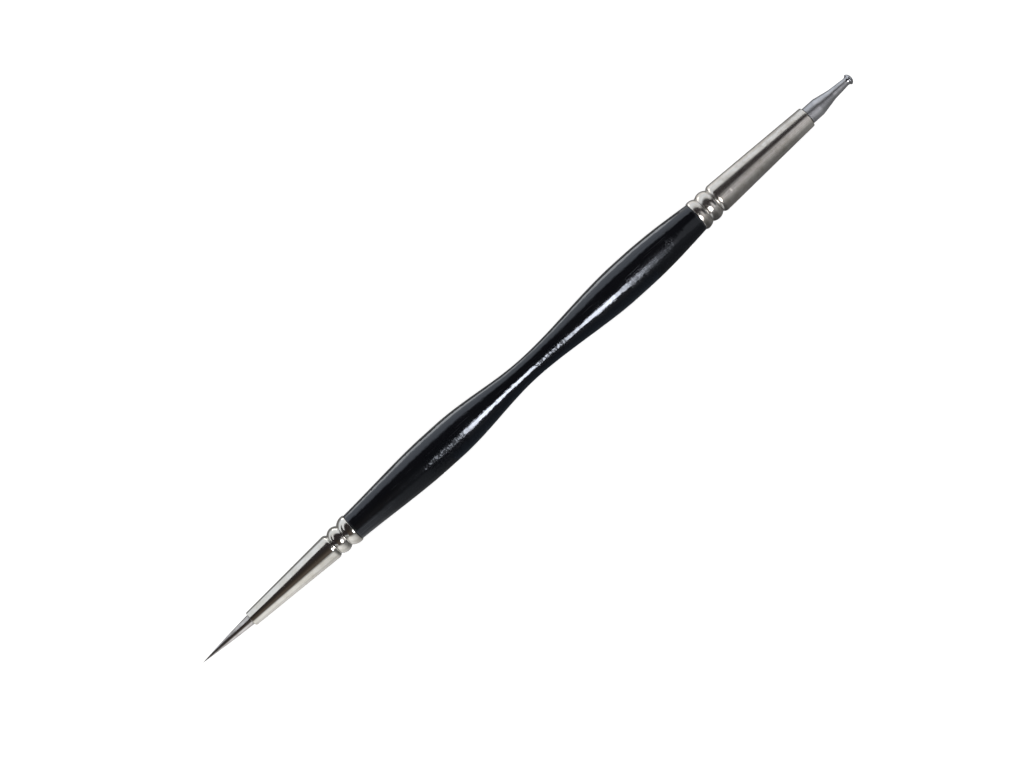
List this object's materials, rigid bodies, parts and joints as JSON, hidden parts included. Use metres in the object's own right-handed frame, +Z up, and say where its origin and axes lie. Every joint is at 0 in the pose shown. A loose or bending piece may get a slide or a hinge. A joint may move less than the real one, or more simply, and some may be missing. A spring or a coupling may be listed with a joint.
{
  "type": "embossing stylus",
  "caption": "Slim double-ended hand stylus: lacquered wooden handle with a waist, crimped metal ferrules, a needle point at one end and a small rounded dotting head at the other.",
  "frame": {"origin": "middle of the tool's whole length, on the table under its axis, so z = 0 is the table that both swells rest on", "axes": "+X along the tool's axis towards the dotting head, +Z up from the table, +Y across"},
  "size_m": [0.15, 0.0074, 0.0073],
  "materials": {
    "black_lacquered_wood": "gloss",
    "nickel_plate": "polished",
    "polished_steel": "polished",
    "turned_steel": "satin",
    "epoxy_glue": "gloss"
  },
  "bodies": {
    "root": {"handle": "black_lacquered_wood", "needle_ferrule": "nickel_plate", "dotting_ferrule": "nickel_plate", "needle_tip": "polished_steel", "dotting_tip": "turned_steel", "needle_glue_plug": "epoxy_glue", "dotting_glue_plug": "epoxy_glue"}
  },
  "joints": []
}
